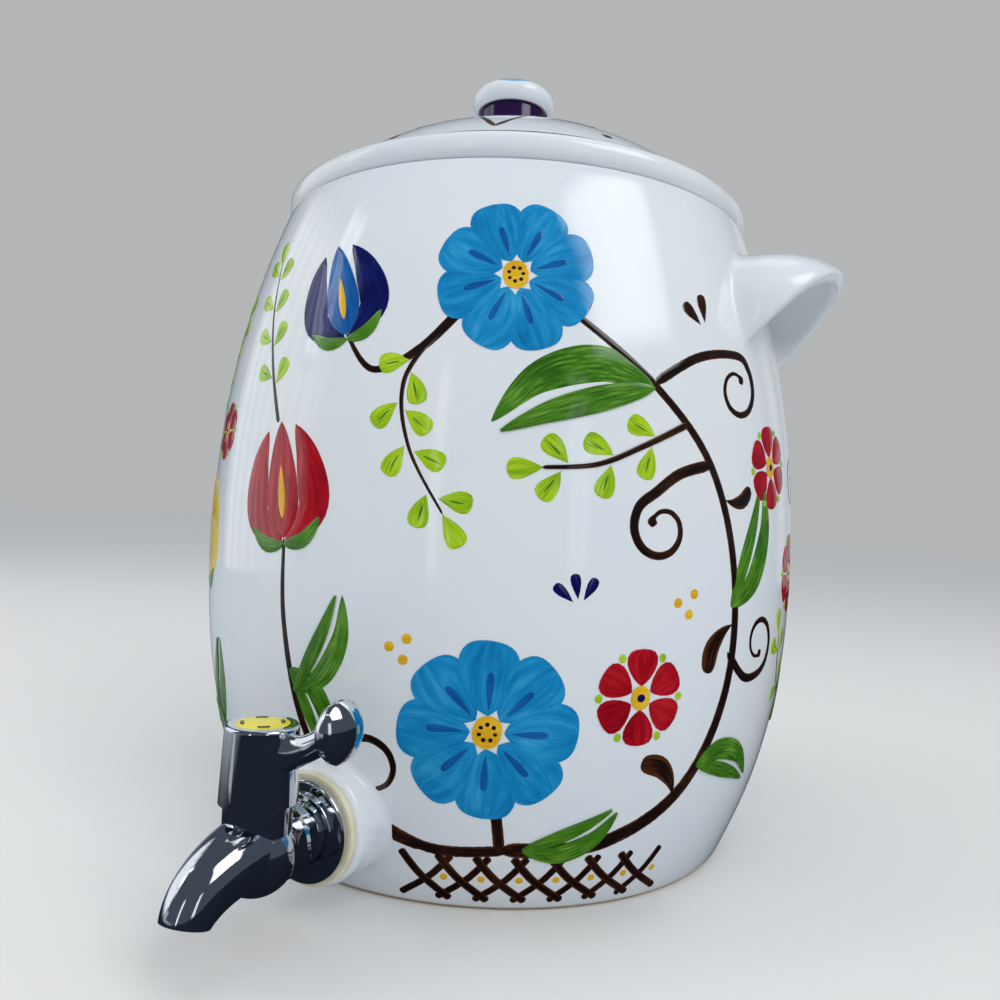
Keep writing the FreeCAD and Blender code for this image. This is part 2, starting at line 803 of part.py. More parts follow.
outside = pot_outside()
shell = pot_shell(outside)
right_handle = make_right_handle(outside)
pieces = {
    "pot_floor": pot_ring(shell, 0, floor_thickness),
    "pot_lower_wall": pot_ring(shell, floor_thickness, wall_seam),
    "pot_upper_wall": pot_ring(shell, wall_seam, rim_seam),
    "pot_rim": pot_ring(shell, rim_seam, body_height),
    "tap_boss": make_tap_boss(outside),
    "right_scoop_handle": right_handle,
    "left_scoop_handle": make_left_handle(right_handle),
    "lid": make_lid(),
    "lid_knob": make_lid_knob(),
    "outer_washer": make_washer(outer_washer_radius, backplate_back, boss_front,
                                outer_washer_rounding),
    "tap_backplate": make_backplate(),
    "tap_body": make_tap_body(),
    "inner_washer": make_washer(inner_washer_radius, pad_back, inner_washer_back,
                                inner_washer_rounding),
    "slip_washer": make_washer(slip_washer_radius, inner_washer_back, slip_washer_back,
                               slip_washer_rounding),
    "lock_nut": make_lock_nut(),
    "seat_seal": make_seat_seal(),
    "fixed_disc": make_fixed_disc(),
    "turning_disc": make_turning_disc(),
    "bonnet": make_bonnet(),
    "bonnet_oring": make_bonnet_oring(),
    "spindle": make_spindle(),
    "spindle_orings": Part.makeCompound([make_oring(z) for z in oring_heights()]),
    "spindle_clip": make_spindle_clip(),
    "tap_handle": make_tap_handle(),
    "handle_screw": make_handle_screw(),
    "index_button": make_index_button(),
}

for name, shape in pieces.items():
    shape.exportStep(f"parts/{name}.step")
    box = shape.BoundBox
    print(f"{name:20s} solids {len(shape.Solids)} volume {shape.Volume:12.1f} valid {shape.isValid()}")
    print(f"    x {box.XMin:.1f} to {box.XMax:.1f} y {box.YMin:.1f} to {box.YMax:.1f}"
          f" z {box.ZMin:.1f} to {box.ZMax:.1f}")
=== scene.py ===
import bpy
import math
from mathutils import Matrix, Vector


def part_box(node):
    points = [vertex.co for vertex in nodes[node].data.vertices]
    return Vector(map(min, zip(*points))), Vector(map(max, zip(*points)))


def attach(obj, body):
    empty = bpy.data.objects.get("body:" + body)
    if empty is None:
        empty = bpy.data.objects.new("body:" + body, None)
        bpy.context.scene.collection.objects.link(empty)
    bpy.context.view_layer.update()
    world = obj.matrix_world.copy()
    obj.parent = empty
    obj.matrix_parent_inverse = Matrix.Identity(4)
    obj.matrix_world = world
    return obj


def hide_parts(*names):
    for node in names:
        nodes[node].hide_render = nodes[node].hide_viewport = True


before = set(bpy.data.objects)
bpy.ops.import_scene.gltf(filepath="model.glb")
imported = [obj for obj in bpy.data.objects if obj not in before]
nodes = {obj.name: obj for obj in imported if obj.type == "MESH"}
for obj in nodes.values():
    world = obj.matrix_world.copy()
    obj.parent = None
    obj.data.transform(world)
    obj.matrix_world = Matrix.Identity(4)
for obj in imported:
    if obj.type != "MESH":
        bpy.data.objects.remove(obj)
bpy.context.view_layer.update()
mm = 0.001  # sizes are in millimetres from the middle of the pot's foot, unless a note says metres

pot = {
    "foot": 104.9,
    "rim": 104.1,
    "bellyHeight": 120.0,
    "lowerFullness": 2.35,
    "upperFullness": 2.2,
    "wall": 8.0,
    "floorCove": 12.0,
    "footRounding": 3.5,
    "rimRounding": 2.2,
    "lip": 8.0,
    "lipDepth": 10.0,
    "lipRounding": 1.2,
    "grooveOuter": 86.0,
    "grooveWidth": 6.0,
    "grooveDepth": 2.0,
    "boreRadius": 11.48,
    "padRadius": 18.0,
    "turnSteps": 288,
    "outsideRows": 64,
    "insideRows": 36,
    "edgePoints": 7,
    "lipPoints": 5,
    "covePoints": 9,
    "boreSides": 96,
    "overcut": 5.0,
    "weld": 0.005,
    "crease": 30,
}
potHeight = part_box("pot_rim")[1].z / mm
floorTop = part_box("pot_floor")[1].z / mm
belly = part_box("pot_upper_wall")[1].x / mm
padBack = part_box("inner_washer")[0].y / mm
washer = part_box("outer_washer")
tapHeight = (washer[0].z + washer[1].z) / 2 / mm
bossFront = washer[1].y / mm


def potRadius(height):
    if height < pot["bellyHeight"]:
        drop = (pot["bellyHeight"] - height) / pot["bellyHeight"]
        return belly - (belly - pot["foot"]) * min(drop, 1) ** pot["lowerFullness"]
    rise = (height - pot["bellyHeight"]) / (potHeight - pot["bellyHeight"])
    return belly - (belly - pot["rim"]) * rise ** pot["upperFullness"]


def clearSelection():
    bpy.ops.object.select_all(action="DESELECT")


def choose(*things):  # the last one named is the active one
    clearSelection()
    for thing in things:
        thing.select_set(True)
    bpy.context.view_layer.objects.active = things[-1]


def applyModifier(thing, kind, **settings):
    modifier = thing.modifiers.new(kind.lower(), kind)
    for name, value in settings.items():
        setattr(modifier, name, value)
    choose(thing)
    bpy.ops.object.modifier_apply(modifier=modifier.name)


def join(things, name):
    choose(*things)
    bpy.ops.object.join()
    joined = bpy.context.object
    joined.name = joined.data.name = name
    return joined


def settle(thing):  # its place goes into its mesh
    choose(thing)
    bpy.ops.object.transform_apply(location=True, rotation=True, scale=True)
    return thing


def smooth(thing, degrees):
    choose(thing)
    bpy.ops.object.shade_smooth_by_angle(angle=math.radians(degrees))


def arcPoints(centre, radius, start, end, count):
    angles = [math.radians(start + (end - start) * i / (count - 1)) for i in range(count)]
    return [(centre[0] + radius * math.cos(a), centre[1] + radius * math.sin(a)) for a in angles]


def turnedPiece(name, outline, steps):
    mesh = bpy.data.meshes.new(name)
    points = [(r * mm, 0, z * mm) for r, z in outline]
    mesh.from_pydata(points, [(i, i + 1) for i in range(len(points) - 1)], [])
    thing = bpy.data.objects.new(name, mesh)
    bpy.context.scene.collection.objects.link(thing)
    choose(thing)
    bpy.ops.object.mode_set(mode="EDIT")
    bpy.ops.mesh.select_all(action="SELECT")
    bpy.ops.mesh.spin(steps=steps, angle=2 * math.pi, center=(0, 0, 0), axis=(0, 0, 1))
    bpy.ops.mesh.select_all(action="SELECT")
    bpy.ops.mesh.remove_doubles(threshold=pot["weld"] * mm)
    bpy.ops.mesh.normals_make_consistent(inside=False)
    bpy.ops.object.mode_set(mode="OBJECT")
    return thing


def rodAlongY(radius, start, end):
    middle = (0, (start + end) / 2 * mm, tapHeight * mm)
    bpy.ops.mesh.primitive_cylinder_add(vertices=pot["boreSides"], radius=radius * mm,
                                        depth=(end - start) * mm, location=middle,
                                        rotation=(math.pi / 2, 0, 0))
    return settle(bpy.context.object)


def cutOrAdd(thing, tool, operation):
    applyModifier(thing, "BOOLEAN", operation=operation, solver="EXACT", object=tool)
    bpy.data.objects.remove(tool)


def potOutline():
    edge, rim = pot["footRounding"], pot["rimRounding"]
    footLean = math.degrees(math.atan(potRadius(1) - potRadius(0)))
    rimLean = math.degrees(math.atan(potRadius(potHeight - 1) - potRadius(potHeight)))
    low = edge * (1 - math.sin(math.radians(footLean)))
    high = potHeight - rim * (1 - math.sin(math.radians(rimLean)))
    footCentre = (potRadius(low) - edge * math.cos(math.radians(footLean)), edge)
    rimCentre = (potRadius(high) - rim * math.cos(math.radians(rimLean)), potHeight - rim)
    grooveInner = pot["grooveOuter"] - pot["grooveWidth"]
    points = [(0, 0), (grooveInner, 0), (grooveInner, pot["grooveDepth"])]
    points += [(pot["grooveOuter"], pot["grooveDepth"]), (pot["grooveOuter"], 0)]
    points += arcPoints(footCentre, edge, -90, -footLean, pot["edgePoints"])
    rows = pot["outsideRows"]
    heights = [low + (high - low) * i / rows for i in range(1, rows)]
    points += [(potRadius(z), z) for z in heights]
    points += arcPoints(rimCentre, rim, rimLean, 90, pot["edgePoints"])
    mouth = pot["rim"] - pot["wall"] - pot["lip"]
    soft = pot["lipRounding"]
    points += arcPoints((mouth + soft, potHeight - soft), soft, 90, 180, pot["lipPoints"])
    lipLow = potHeight - pot["lipDepth"]
    shoulder = lipLow - pot["lip"]
    points.append((mouth, lipLow))
    rows = pot["insideRows"]
    cove = pot["floorCove"]
    end = floorTop + cove
    heights = [shoulder + (end - shoulder) * i / rows for i in range(rows)]
    points += [(potRadius(z) - pot["wall"], z) for z in heights]
    corner = (potRadius(end) - pot["wall"] - cove, end)
    points += arcPoints(corner, cove, 0, -90, pot["covePoints"])
    points.append((0, floorTop))
    return points


def makePot():
    thing = turnedPiece("pot", potOutline(), pot["turnSteps"])
    pad = rodAlongY(pot["padRadius"], -potRadius(tapHeight) + pot["wall"] / 2, padBack)
    cutOrAdd(thing, pad, "UNION")
    bore = rodAlongY(pot["boreRadius"], bossFront, padBack + pot["wall"])
    cutOrAdd(thing, bore, "DIFFERENCE")
    smooth(thing, pot["crease"])
    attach(thing, "pot")
    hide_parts("pot_floor", "pot_lower_wall", "pot_upper_wall", "pot_rim")
    return thing


# Each piece luted to the pot is remeshed with a patch of the wall behind it, so that the
# seam runs out softly as wet clay does. What lies level with the wall then sinks into it.
scoop = {"spread": 34, "low": 178, "high": 262, "voxel": 0.95, "rounds": 26}
luted = {  # the patch's middle and half its span in degrees, its two heights, the remesh
    "right_scoop_handle": {"turn": 90, **scoop},
    "left_scoop_handle": {"turn": 270, **scoop},
    "tap_boss": {"turn": 0, "spread": 17, "low": 3.5, "high": 66, "voxel": 0.7, "rounds": 14},
}
seam = {
    "patchDepth": 5.0,
    "patchSlack": 1.0,
    "patchCuts": 48,
    "sunkFrom": 1.6,  # what rises less than this over the wall is drawn down
    "sunkBy": 0.12,  # and its run-out ends this far under the wall
    "level": 0.2,  # what lies this close under the wall goes down steeply, the rest gently
    "steep": 10,
    "gentle": 0.6,
    "faceReach": 0.2,  # the boss's face is made flat again this far behind its front
    "weld": 0.002,
    "crease": 40,
}


def wallPatch(setup):
    cuts = seam["patchCuts"]
    bpy.ops.mesh.primitive_grid_add(x_subdivisions=cuts, y_subdivisions=cuts, size=2)
    patch = bpy.context.object
    middle = (setup["low"] + setup["high"]) / 2
    half = (setup["high"] - setup["low"]) / 2
    for corner in patch.data.vertices:
        angle = math.radians(setup["turn"] - 90 + corner.co.x * setup["spread"])
        z = middle + corner.co.y * half
        r = potRadius(z)
        corner.co = Vector((r * math.cos(angle), r * math.sin(angle), z)) * mm
    applyModifier(patch, "SOLIDIFY", thickness=seam["patchDepth"] * mm, offset=-1)
    return patch


def sink(lift):  # rises over the wall stay, the rest goes under it without folding over
    if lift > 0:
        return lift - seam["sunkBy"] * max(0, 1 - lift / seam["sunkFrom"])
    if lift > -seam["level"]:
        return lift * seam["steep"] - seam["sunkBy"]
    return (lift + seam["level"]) * seam["gentle"] - seam["level"] * seam["steep"] - seam["sunkBy"]


def makeLuted(name):
    setup = luted[name]
    clearSelection()
    copy = bpy.data.objects.new(name, nodes[name].data.copy())
    copy.matrix_world = nodes[name].matrix_world
    bpy.context.scene.collection.objects.link(copy)
    settle(copy)
    bpy.ops.object.mode_set(mode="EDIT")
    bpy.ops.mesh.select_all(action="SELECT")
    bpy.ops.mesh.remove_doubles(threshold=seam["weld"] * mm)
    bpy.ops.object.mode_set(mode="OBJECT")
    clearSelection()
    thing = join([wallPatch(setup), copy], name + "_glazed")
    applyModifier(thing, "REMESH", mode="VOXEL", voxel_size=setup["voxel"] * mm)
    applyModifier(thing, "SMOOTH", factor=0.5, iterations=setup["rounds"])
    for corner in thing.data.vertices:
        x, y, z = corner.co / mm
        skin = potRadius(z)
        r = math.hypot(x, y)
        if name == "tap_boss" and y < bossFront + seam["faceReach"]:
            corner.co.y = bossFront * mm
        elif skin - seam["patchDepth"] - seam["patchSlack"] < r and r - skin < seam["sunkFrom"]:
            new = (skin + sink(r - skin)) / r
            corner.co.x *= new
            corner.co.y *= new
    if name == "tap_boss":
        bore = rodAlongY(pot["boreRadius"], bossFront - pot["overcut"], padBack)
        cutOrAdd(thing, bore, "DIFFERENCE")
    smooth(thing, seam["crease"])
    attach(thing, "pot")
    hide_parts(name)
    return thing


print("pot and what is luted to it")
potPiece = makePot()
glazed = [potPiece] + [makeLuted(name) for name in luted]


# Brush strokes: each is a strip laid along a path, domed across and closed underneath.
brush = {
    "domed": 0.12,  # how far the middle of a broad stroke stands over the glaze
    "hairline": 0.06,  # the same for the finest one
    "domedPerWidth": 0.02,
    "seen": 0.85,  # share of the strip's width that shows, its edges lie under the surface
    "thick": 0.35,
    "layer": 0.09,  # each layer stands this much further out
    "across": 6,
    "step": 1.2,
    "fewestRows": 9,
    "mostRows": 110,
    "longFrom": 60,
    "tip": 0.01,  # width at the very ends, as a share of the full width
    "look": 0.004,  # how far along its path a stroke looks for its direction, as a share
    "markLength": 20,
    "markShift": 7,
    "crease": 50,
}
strokes = {}


def onPot(turn, height):
    def place(across, up, lift):
        z = min(max(height + up, 1), potHeight - 1)
        r = potRadius(z) + lift
        angle = math.radians(turn - 90) + across / potRadius(z)
        return Vector((r * math.cos(angle), r * math.sin(angle), z)) * mm
    return place


def moved(place, across, up, tilt=0.0, size=1.0, flip=1):
    turn = math.radians(tilt)

    def inner(u, v, lift):
        u, v = u * size * flip, v * size
        x = across + u * math.cos(turn) - v * math.sin(turn)
        y = up + u * math.sin(turn) + v * math.cos(turn)
        return place(x, y, lift)
    return inner


def along(path, t):  # a point on a smooth line through the path's points
    last = len(path) - 1
    spot = min(t * last, last - 1e-6)
    i = int(spot)
    f = spot - i
    a, b, c, d = (path[min(max(k, 0), last)] for k in (i - 1, i, i + 1, i + 2))
    out = []
    for p, q, r, s in zip(a, b, c, d):
        out.append(0.5 * (2 * q + (r - p) * f + (2 * p - 5 * q + 4 * r - s) * f * f
                          + (3 * q - 3 * r + s - p) * f ** 3))
    return out


def roundEnds(t, share):
    return min(1, math.sqrt(max(t, 0) / share)) * min(1, math.sqrt(max(1 - t, 0) / share))


widths = {  # share of the full width at t, which runs from 0 to 1 along the stroke
    "stem": lambda t: (1 - 0.62 * t) * roundEnds(t, 0.03),
    "curl": lambda t: ((1 - 0.72 * t) + 0.62 * math.exp(-((t - 0.955) / 0.03) ** 2)) * roundEnds(t, 0.02),
    "line": lambda t: roundEnds(t, 0.04),
    "petal": lambda t: t * math.sqrt(1 - t) / 0.385,
    "bud": lambda t: t ** 1.3 * math.sqrt(1 - t) / 0.335,
    "leaf": lambda t: math.sin(math.pi * t ** 0.85) ** 0.9,
    "dot": lambda t: 2 * math.sqrt(t * (1 - t)),
}


def stroke(paint, place, path, width, form="stem", layer=0):
    length = sum(math.dist(p, q) for p, q in zip(path, path[1:]))
    rows = max(brush["fewestRows"], min(brush["mostRows"], round(length / brush["step"])))
    bpy.ops.mesh.primitive_grid_add(x_subdivisions=brush["across"], y_subdivisions=rows, size=2)
    strip = bpy.context.object
    domed = min(brush["domed"], brush["hairline"] + width * brush["domedPerWidth"])
    raised = layer * brush["layer"]
    for corner in strip.data.vertices:
        side = corner.co.x
        t = (corner.co.y + 1) / 2
        if length <= brush["longFrom"]:  # a short stroke has closer rows at its ends
            t = min(max(0.5 - 0.5 * math.cos(math.pi * t), 0), 1)
        before = along(path, max(t - brush["look"], 0))
        after = along(path, min(t + brush["look"], 1))
        run = Vector((after[0] - before[0], after[1] - before[1])).normalized()
        half = width / brush["seen"] / 2 * max(widths[form](t), brush["tip"])
        u, v = along(path, t)
        u, v = u + run.y * side * half, v - run.x * side * half
        lift = domed * (1 - side * side / brush["seen"] ** 2) + raised
        corner.co = place(u, v, lift)
    shift = brush["markShift"] * len(strokes.get(paint, ()))
    for loop in strip.data.uv_layers[0].data:  # bristle marks of one length, never alike
        loop.uv.y = loop.uv.y * length / brush["markLength"] + shift
    if strip.data.polygons[0].normal.dot(place(u, v, 1) - place(u, v, 0)) < 0:
        strip.data.flip_normals()
    modifier = strip.modifiers.new("body", "SOLIDIFY")
    modifier.thickness = (brush["thick"] + raised) * mm
    modifier.offset = -1
    strokes.setdefault(paint, []).append(strip)


def dot(paint, place, u, v, size, layer=0):
    stroke(paint, place, [(u - size / 2, v), (u, v), (u + size / 2, v)], size, "dot", layer)


def ring(count, start=0.0):
    return [2 * math.pi * i / count + math.radians(start) for i in range(count)]


def ray(angle, *reaches):  # points on one straight line out of a flower's middle
    return [(reach * math.cos(angle), reach * math.sin(angle)) for reach in reaches]


# Motifs are drawn in millimetres round their own middle or root. A stroke takes its paint,
# its place, its path, its full width, its form and how many layers up it lies.
def blueBloom(place):  # eight broad petals, a short inner row and a gold heart
    for angle in ring(8, 11):
        root, middle, end = ray(angle, 5, 15, 27)
        bent = (middle[0] - math.sin(angle), middle[1] + math.cos(angle))
        stroke("skyBlue", place, [root, bent, end], 15.5, "petal", 2)
        stroke("deepBlue", place, ray(angle, 7, 13, 18), 2.6, "petal", 3)
    dot("gold", place, 0, 0, 8.5, 3)
    for angle in ring(7):
        dot("stemBrown", place, *ray(angle, 2.4)[0], 1.3, 4)


def redFlower(place):  # six drops round a gold eye, with a lime dot in each gap
    for angle in ring(6, 30):
        stroke("darkRed", place, ray(angle, 3.6, 9, 14.5), 8.8, "petal", 2)
        dot("lime", place, *ray(angle + 0.52, 13.5)[0], 2.2, 2)
    dot("gold", place, 0, 0, 6.2, 3)
    dot("navy", place, 0, 0, 2.6, 4)


def tulip(place, outer, inner, tongue="gold"):
    stroke(outer, place, [(-1, 0), (-13, 9), (-12, 24), (-7, 36)], 10.5, "leaf", 2)
    stroke(outer, place, [(1, 0), (13, 9), (12, 24), (7, 36)], 10.5, "leaf", 2)
    stroke(inner, place, [(0, 1), (0, 16), (0, 38)], 12.5, "leaf", 3)
    stroke(tongue, place, [(0, 7), (0, 15), (0, 24)], 3.4, "leaf", 4)
    stroke("leafGreen", place, [(0, -1), (-9, 0), (-16, 6)], 4.6, "leaf", 3)
    stroke("leafGreen", place, [(0, -1), (9, 0), (16, 6)], 4.6, "leaf", 3)


def greenLeaf(place, length, width):  # two strokes with a pale vein left between them
    low = [(0, 0), (length * 0.3, -width * 0.62), (length * 0.68, -width * 0.6), (length, 0)]
    high = [(0, 0.6), (length * 0.3, width * 0.02), (length * 0.66, width * 0.06),
            (length * 0.96, width * 0.2)]
    stroke("leafGreen", place, low, width * 0.62, "leaf", 1)
    stroke("leafGreen", place, high, width * 0.42, "leaf", 1)


spray = {
    "stem": 2.1,
    "first": 0.22,  # where the first pair of buds grows, as a share of the stem
    "reach": 0.74,  # and how far from there the pairs go on
    "stagger": 0.04,
    "lean": 0.85,  # radians between stem and bud
    "bud": ((0.16, 0), (0.6, 0.35), (1.1, 0)),  # along in bud lengths, across in millimetres
    "vein": (0.45, 0.68, 0.92),
    "veinWidth": 0.8,
}


def heading(path, t, look=0.02):  # the way a path runs at t, in radians
    before, after = along(path, max(t - look, 0)), along(path, min(t + look, 1))
    return math.atan2(after[1] - before[1], after[0] - before[0])


def budSpray(place, path, pairs, size):  # pairs of lime buds up a stem, and one at its tip
    stroke("stemBrown", place, path, spray["stem"], "stem")
    for i in range(pairs):
        t = spray["first"] + spray["reach"] * i / (pairs - 0.5)
        for side in (-1, 1):
            u, v = along(path, min(t + (spray["stagger"] if side > 0 else 0), 1))
            run = heading(path, t) + side * spray["lean"]
            c, s = math.cos(run), math.sin(run)
            bud = [(u + k * c * size - side * s * w, v + k * s * size + side * c * w)
                   for k, w in spray["bud"]]
            stroke("lime", place, bud, size / 2, "bud", 1)
            vein = [(u + k * c * size, v + k * s * size) for k in spray["vein"]]
            stroke("leafGreen", place, vein, spray["veinWidth"], "leaf", 2)
    u, v = path[-1]
    tip = [(u + du, v + dv) for du, dv in ray(heading(path, 0.98), 0, size / 2, size)]
    stroke("lime", place, tip, size / 2, "bud", 1)


def comma(place, size):  # a fat brown drop with a bent tail
    path = [(0, 0), (size * 0.5, size * 0.1), (size, size * 0.42), (size * 1.25, size)]
    stroke("stemBrown", place, path, size * 0.5, "bud", 1)


def scroll(place, path, width):  # a tendril that ends in a fat drop
    stroke("stemBrown", place, path, width, "curl")


def curlPath(start, centre, turns, shrink=0.34):  # winds in from start round centre
    dx, dy = start[0] - centre[0], start[1] - centre[1]
    radius, angle = math.hypot(dx, dy), math.atan2(dy, dx)
    count = max(5, round(abs(turns) * 9))
    points = []
    for i in range(count + 1):
        f = i / count
        r = radius * (1 - (1 - shrink) * f)
        a = angle + 2 * math.pi * turns * f
        points.append((centre[0] + r * math.cos(a), centre[1] + r * math.sin(a)))
    return points


def drops(paint, place, count, size, fan=40):  # a small fan of drops
    for i in range(count):
        angle = math.radians(90 + fan * (i - (count - 1) / 2))
        stroke(paint, place, ray(angle, size * 0.4, size, size * 1.6), size * 0.5, "bud")


def lattice(place, left, right, low, high, step, bar):  # crossed bars, a gold dot between
    count = round((right - left) / step)
    lean = high - low
    middle = (low + high) / 2
    for i in range(count):
        u = left + i * step
        stroke("stemBrown", place, [(u, low), (u + lean * 0.6, middle), (u + lean, high)], bar, "line")
        stroke("stemBrown", place, [(u + lean, low), (u + lean * 0.4, middle), (u, high)], bar, "line", 1)
        dot("gold", place, u + lean / 2 + step / 2, middle, bar)


def frontPainting(turn):
    face = onPot(turn, 123)
    vine = [(4, -98), (40, -96), (72, -78), (90, -44), (91, -4), (77, 34), (50, 62), (14, 88)]
    stroke("stemBrown", face, vine, 6.0, "stem")
    scroll(face, [(76, 36), (62, 32)] + curlPath((52, 25), (55, 13), 1.2), 4.2)
    scroll(face, [(89, -30), (101, -40)] + curlPath((112, -40), (111, -28), 1.1), 3.6)
    scroll(face, [(8, -98), (-20, -99)] + curlPath((-44, -88), (-42, -73), -1.15), 4.4)
    scroll(face, [(50, 62), (70, 74)] + curlPath((92, 78), (91, 65), -1.15), 3.8)
    blueBloom(moved(face, 0, 96, 8, 1.02))
    blueBloom(moved(face, -2, -56, -12, 1.12))
    stroke("stemBrown", face, [(4, -98), (3, -90), (0, -70)], 3.8, "line")
    redFlower(moved(face, 50, -44, 0, 1.15))
    redFlower(moved(face, 116, 38, 10, 1.1))
    tulip(moved(face, -82, 2, 8, 1.12), "darkRed", "darkRed")
    stroke("stemBrown", face, [(-22, -99), (-50, -88), (-70, -60), (-80, -26), (-82, 3)], 4.4, "stem")
    tulip(moved(face, -60, 74, 14, 0.96), "navy", "deepBlue")
    stroke("stemBrown", face, [(-12, 90), (-30, 70), (-48, 62), (-60, 75)], 4.0, "stem")
    greenLeaf(moved(face, 50, 61, 196, 1.0), 58, 18)
    greenLeaf(moved(face, 90, -14, 66, 1.0), 50, 14)
    greenLeaf(moved(face, 78, -70, 164, 0.9, -1), 42, 13)
    greenLeaf(moved(face, -73, -50, 62, 1.0), 40, 11)
    greenLeaf(moved(face, -76, -42, 122, 1.0, -1), 34, 10)
    greenLeaf(moved(face, 12, -98, 22, 0.8), 44, 12)
    budSpray(face, [(-24, 77), (-36, 58), (-33, 36), (-20, 14)], 4, 12)
    budSpray(face, [(64, 49), (46, 40), (30, 33), (12, 31)], 3, 12)
    budSpray(face, [(-90, 44), (-98, 66), (-104, 88), (-106, 108)], 4, 11)
    comma(moved(face, 91, -20, 196), 13)
    comma(moved(face, 84, 24, -20), 10)
    comma(moved(face, 68, -81, 100), 13)
    comma(moved(face, -62, -74, 24), 12)
    drops("navy", moved(face, 26, -14, 10), 3, 7)
    drops("stemBrown", moved(face, 74, 84, 30), 2, 9)
    for u, v in ((64, -16), (59, -12), (66, -9), (-40, -30), (-35, -34), (-34, -27)):
        dot("gold", face, u + 4, v, 3.4)
    lattice(face, -30, 66, -119, -101, 13, 2.6)


def sidePainting(turn):
    side = onPot(turn, 100)
    tulip(moved(side, 0, 6, -6, 1.15), "yellow", "yellow", "darkRed")
    stroke("stemBrown", side, [(4, -88), (10, -50), (4, -20), (0, 7)], 4.0, "stem")
    greenLeaf(moved(side, 8, -54, 60), 44, 12)
    greenLeaf(moved(side, 8, -44, 122, 1, -1), 40, 11)
    scroll(side, [(6, -66), (-6, -68)] + curlPath((-18, -64), (-16, -53), -1.1), 3.6)
    budSpray(side, [(-4, 60), (-8, 80), (0, 100), (10, 114)], 4, 11)
    redFlower(moved(side, 22, 66, 0, 0.8))


def underHandle(turn):
    side = onPot(turn, 100)
    stem = [(-6, -88), (-12, -46), (-4, -10), (4, 20), (7, 42)]
    scroll(side, stem + curlPath((0, 62), (-10, 56), 1.1), 4.8)
    redFlower(moved(side, -16, 20, 0, 1.1))
    greenLeaf(moved(side, -10, -42, 50), 44, 12)
    budSpray(side, [(-11, -30), (-24, -20), (-30, -4)], 2, 11)
    drops("navy", moved(side, 14, 44, -20), 3, 7)
    comma(moved(side, 0, 4, 10), 9)


print("painting")
clearSelection()
for turn in (27, 207):
    frontPainting(turn)
for turn in (-44, 136):
    sidePainting(turn)
for turn in (100, 280):
    underHandle(turn)

dome = {
    "radius": 139.0,
    "facing": 20,  # degrees round from the tap to one of the line's long points
    "scallops": 6,
    "scallop": ((0, 72), (0.2, 60), (0.45, 55), (0.7, 64), (1, 87)),  # share of its half, reach
    "lineWidth": 2.0,
    "ring": 91.5,
    "ringWidth": 0.9,
    "dash": 84,
    "dashSpan": 1.2,
    "dashWidth": 3.6,
    "degree": 1.3,  # about how long a degree round the axis is where the line runs
}
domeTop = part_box("lid")[1].z / mm
domeCentre = domeTop - dome["radius"]


def onDome(turn):  # across in degrees round the axis, then the distance from it
    def place(across, reach, lift):
        angle = math.radians(turn - 90 + across)
        z = domeCentre + math.sqrt((dome["radius"] + lift) ** 2 - reach ** 2)
        return Vector((reach * math.cos(angle), reach * math.sin(angle), z)) * mm
    return place


def domeStroke(place, path, width):
    def flat(u, v, lift):  # degrees round the axis stand in for millimetres
        return place(u / dome["degree"], v, lift)
    stroke("lidBrown", flat, [(u * dome["degree"], v) for u, v in path], width, "line")


def lidPainting():  # a scalloped line over a thin ring, with a dash in each scallop
    half = 180 / dome["scallops"]
    for i in range(dome["scallops"]):
        place = onDome(dome["facing"] + half * (2 * i + 1))
        for side in (-1, 1):
            path = [(side * (half * share), reach) for share, reach in dome["scallop"]]
            domeStroke(place, path, dome["lineWidth"])
        for reach, span, width in ((dome["dash"], dome["dashSpan"], dome["dashWidth"]),
                                   (dome["ring"], half, dome["ringWidth"])):
            domeStroke(place, [(-span, reach), (0, reach), (span, reach)], width)


lidPainting()

button = {
    "dashes": 4,
    "dashRadius": 6.2,
    "dashSpan": 34,
    "dashWidth": 1.0,
}


def buttonMarks():
    low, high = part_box("index_button")
    middle = (low + high) / 2

    def place(u, v, lift):
        return Vector((middle.x + u * mm, middle.y + v * mm, high.z + lift * mm))
    for i in range(button["dashes"]):
        start = 360 / button["dashes"] * (i + 0.5) - button["dashSpan"] / 2
        path = arcPoints((0, 0), button["dashRadius"], start, start + button["dashSpan"], 5)
        stroke("buttonMark", place, path, button["dashWidth"], "line")


buttonMarks()
print("strokes", sum(len(group) for group in strokes.values()))


def applyAndJoin(paint, group):
    choose(*group)
    bpy.ops.object.convert(target="MESH")
    painting = join(group, "painting_" + paint)
    smooth(painting, brush["crease"])
    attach(painting, {"lidBrown": "lid", "buttonMark": "tap_lever"}.get(paint, "pot"))
    return painting


paintings = {paint: applyAndJoin(paint, group) for paint, group in strokes.items()}


# Materials
def newMaterial(name, colour, roughness, **sockets):
    material = bpy.data.materials.new(name)
    material.use_nodes = True
    shader = material.node_tree.nodes["Principled BSDF"]
    shader.inputs["Base Color"].default_value = (*colour, 1)
    shader.inputs["Roughness"].default_value = roughness
    for socket, value in sockets.items():
        shader.inputs[socket.replace("_", " ")].default_value = value
    return material


def addNode(material, kind, **settings):
    node = material.node_tree.nodes.new(kind)
    for name, value in settings.items():
        if name in node.inputs:
            node.inputs[name].default_value = value
        else:
            setattr(node, name, value)
    return node


def link(material, source, output, target, socket):
    material.node_tree.links.new(source.outputs[output], target.inputs[socket])


